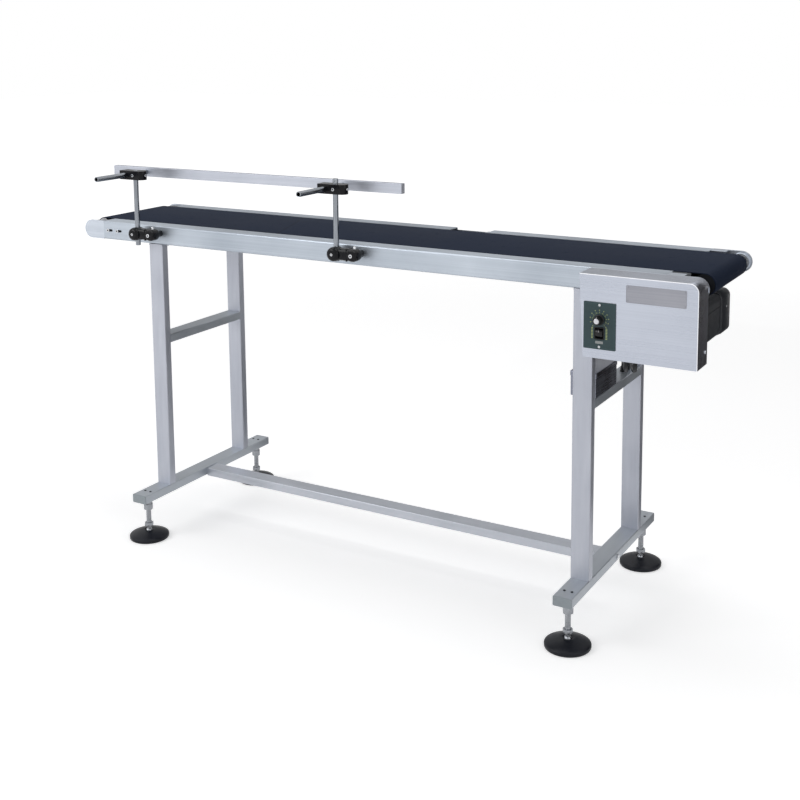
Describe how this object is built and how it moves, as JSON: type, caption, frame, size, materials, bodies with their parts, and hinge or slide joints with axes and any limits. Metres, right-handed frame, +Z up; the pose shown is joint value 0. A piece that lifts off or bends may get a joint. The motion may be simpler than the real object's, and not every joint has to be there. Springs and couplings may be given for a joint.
{
  "type": "belt conveyor section",
  "caption": "Narrow flat belt conveyor section on a levelling stand, with geared drive, speed control box and an adjustable side guide rail.",
  "frame": {"origin": "on the floor under the middle of the whole outline: midway along the belt, and midway between the front ends of the guide rods and the back foot pads", "axes": "+X along the belt towards the drive end, +Y away from the control side, +Z up"},
  "size_m": [1.5506, 0.552, 0.894],
  "materials": {
    "stainless": "brushed",
    "zinc_steel": "satin",
    "fastener_steel": "bright",
    "frame_tube": "satin",
    "end_cap": "matte",
    "belt": "matte",
    "timing_belt": "matte",
    "pulley_alloy": "satin",
    "drum_lagging": "matte",
    "roller_steel": "satin",
    "motor_paint": "semi-gloss",
    "switch_plastic": "gloss",
    "clamp_plastic": "matte",
    "name_plate": "satin",
    "control_plate": "matte",
    "lead_jacket": "satin",
    "rod_steel": "bright",
    "guide_bar": "satin",
    "foot_plastic": "satin"
  },
  "bodies": {
    "frame": {"side_rail_front": "stainless", "side_rail_back": "stainless", "bed_pan": "zinc_steel", "cross_members": "zinc_steel", "belt": "belt", "drive_plate_front": "stainless", "drive_plate_back": "stainless", "tail_plate_front": "stainless", "tail_plate_back": "stainless", "drum_bearings": "zinc_steel", "timing_belt": "timing_belt", "drive_mount_plate": "zinc_steel", "drive_cover": "stainless", "cover_screws": "fastener_steel", "name_plate": "name_plate", "control_plate": "control_plate", "controller_case": "switch_plastic", "gearbox": "motor_paint", "motor_body": "motor_paint", "motor_end_bell": "motor_paint", "motor_bolts": "fastener_steel", "upright_left_front": "frame_tube", "upright_left_back": "frame_tube", "upright_right_front": "frame_tube", "upright_right_back": "frame_tube", "cross_bar_left": "frame_tube", "cross_bar_right": "frame_tube", "base_bar_left": "frame_tube", "base_bar_right": "frame_tube", "base_end_caps": "end_cap", "stretcher": "frame_tube", "frame_bolts": "fastener_steel", "supply_box": "stainless", "drive_leads": "lead_jacket", "cable_glands": "clamp_plastic", "foot_lock_nuts": "fastener_steel", "lower_clamps": "clamp_plastic", "clamp_bolts": "fastener_steel"},
    "drum": {"drive_drum": "drum_lagging", "drum_pulley": "pulley_alloy"},
    "motor_output": {"output_shaft": "fastener_steel", "motor_pulley": "pulley_alloy"},
    "take_up": {"tail_axle": "fastener_steel", "take_up_blocks": "zinc_steel", "take_up_screws": "fastener_steel"},
    "tail_roller": {"tail_roller": "roller_steel"},
    "speed_knob": {"speed_knob": "switch_plastic"},
    "rocker": {"rocker_switch": "switch_plastic"},
    "guide_posts": {"guide_posts": "rod_steel", "upper_clamps": "clamp_plastic"},
    "guide": {"guide_rods": "rod_steel", "guide_bar": "guide_bar"},
    "foot_left_front": {"foot_stem_left_front": "fastener_steel"},
    "pad_left_front": {"foot_pad_left_front": "foot_plastic"},
    "foot_left_back": {"foot_stem_left_back": "fastener_steel"},
    "pad_left_back": {"foot_pad_left_back": "foot_plastic"},
    "foot_right_front": {"foot_stem_right_front": "fastener_steel"},
    "pad_right_front": {"foot_pad_right_front": "foot_plastic"},
    "foot_right_back": {"foot_stem_right_back": "fastener_steel"},
    "pad_right_back": {"foot_pad_right_back": "foot_plastic"}
  },
  "joints": [
    {"name": "drum_spin", "type": "hinge", "parent": "frame", "child": "drum", "pos_m": [0.753, 0.014, 0.728], "axis": [0, 1, 0], "continuous": true},
    {"name": "motor_spin", "type": "hinge", "parent": "frame", "child": "motor_output", "pos_m": [0.696, -0.174, 0.651], "axis": [0, 1, 0], "continuous": true},
    {"name": "belt_take_up", "type": "slide", "parent": "frame", "child": "take_up", "axis": [1, 0, 0], "range_m": [0, 0.01]},
    {"name": "tail_spin", "type": "hinge", "parent": "take_up", "child": "tail_roller", "pos_m": [-0.753, 0.014, 0.728], "axis": [0, 1, 0], "continuous": true},
    {"name": "speed_turn", "type": "hinge", "parent": "frame", "child": "speed_knob", "pos_m": [0.5875, -0.211, 0.665], "axis": [0, 1, 0], "range_deg": [-135, 135]},
    {"name": "rocker_tilt", "type": "hinge", "parent": "frame", "child": "rocker", "pos_m": [0.5875, -0.198, 0.639], "axis": [1, 0, 0], "range_deg": [-8, 8]},
    {"name": "guide_height", "type": "slide", "parent": "frame", "child": "guide_posts", "axis": [0, 0, 1], "range_m": [-0.08, 0.015]},
    {"name": "guide_reach", "type": "slide", "parent": "guide_posts", "child": "guide", "axis": [0, 1, 0], "range_m": [-0.04, 0.08]},
    {"name": "level_left_front", "type": "slide", "parent": "frame", "child": "foot_left_front", "axis": [0, 0, 1], "range_m": [-0.006, 0.006]},
    {"name": "pad_tilt_left_front", "type": "hinge", "parent": "foot_left_front", "child": "pad_left_front", "pos_m": [-0.55, -0.2, 0.016], "axis": [1, 0, 0], "range_deg": [-10, 10]},
    {"name": "level_left_back", "type": "slide", "parent": "frame", "child": "foot_left_back", "axis": [0, 0, 1], "range_m": [-0.006, 0.006]},
    {"name": "pad_tilt_left_back", "type": "hinge", "parent": "foot_left_back", "child": "pad_left_back", "pos_m": [-0.55, 0.228, 0.016], "axis": [1, 0, 0], "range_deg": [-10, 10]},
    {"name": "level_right_front", "type": "slide", "parent": "frame", "child": "foot_right_front", "axis": [0, 0, 1], "range_m": [-0.006, 0.006]},
    {"name": "pad_tilt_right_front", "type": "hinge", "parent": "foot_right_front", "child": "pad_right_front", "pos_m": [0.53, -0.2, 0.016], "axis": [1, 0, 0], "range_deg": [-10, 10]},
    {"name": "level_right_back", "type": "slide", "parent": "frame", "child": "foot_right_back", "axis": [0, 0, 1], "range_m": [-0.006, 0.006]},
    {"name": "pad_tilt_right_back", "type": "hinge", "parent": "foot_right_back", "child": "pad_right_back", "pos_m": [0.53, 0.228, 0.016], "axis": [1, 0, 0], "range_deg": [-10, 10]}
  ],
  "couplings": [
    {"joint": "motor_spin", "follows": "drum_spin", "ratio": 1},
    {"joint": "tail_spin", "follows": "drum_spin", "ratio": 1}
  ]
}
